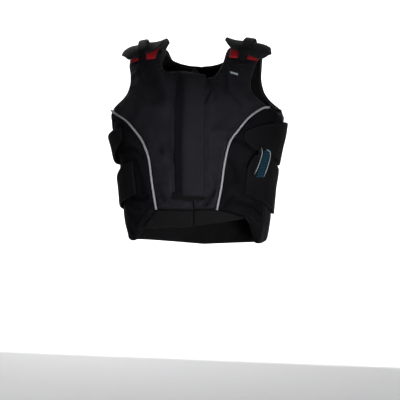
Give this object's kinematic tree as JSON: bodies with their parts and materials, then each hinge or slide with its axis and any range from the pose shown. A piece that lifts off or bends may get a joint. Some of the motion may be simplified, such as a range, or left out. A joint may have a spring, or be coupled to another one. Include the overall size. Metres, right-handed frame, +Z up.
{
  "type": "equestrian body protector",
  "caption": "Padded sleeveless riding vest in its worn form, with a zipped and covered front, piped side seams, adjusting side tabs and padded shoulder caps.",
  "frame": {"origin": "midway between the shoulders, level with the inside of their tops, where the wearer's shoulders carry the vest", "axes": "+X to the wearer's left, -Y to the front, +Z up"},
  "size_m": [0.3776, 0.2607, 0.4412],
  "materials": {
    "panel_nylon": "close-woven matte nylon over soft foam",
    "black_trim": "brushed nylon and webbing",
    "pale_piping": "smooth pale grey corded piping",
    "red_band": "woven red nylon",
    "blue_label": "woven label, plain bands"
  },
  "bodies": {
    "root": {"front_panel_left": "panel_nylon", "front_panel_right": "panel_nylon", "side_panel_left": "panel_nylon", "side_panel_right": "panel_nylon", "back_panel": "panel_nylon", "front_flap": "panel_nylon", "front_zip": "black_trim", "hem_band_left": "black_trim", "hem_band_right": "black_trim", "piping_left": "pale_piping", "piping_right": "pale_piping", "side_tab_upper_left": "black_trim", "side_tab_upper_right": "black_trim", "side_tab_lower_left": "black_trim", "side_tab_lower_right": "black_trim", "shoulder_cap_left": "panel_nylon", "shoulder_cap_right": "panel_nylon", "shoulder_band_left": "red_band", "shoulder_band_right": "red_band", "shoulder_strap_left": "black_trim", "shoulder_strap_right": "black_trim", "side_label": "blue_label", "chest_label": "pale_piping"}
  },
  "joints": []
}
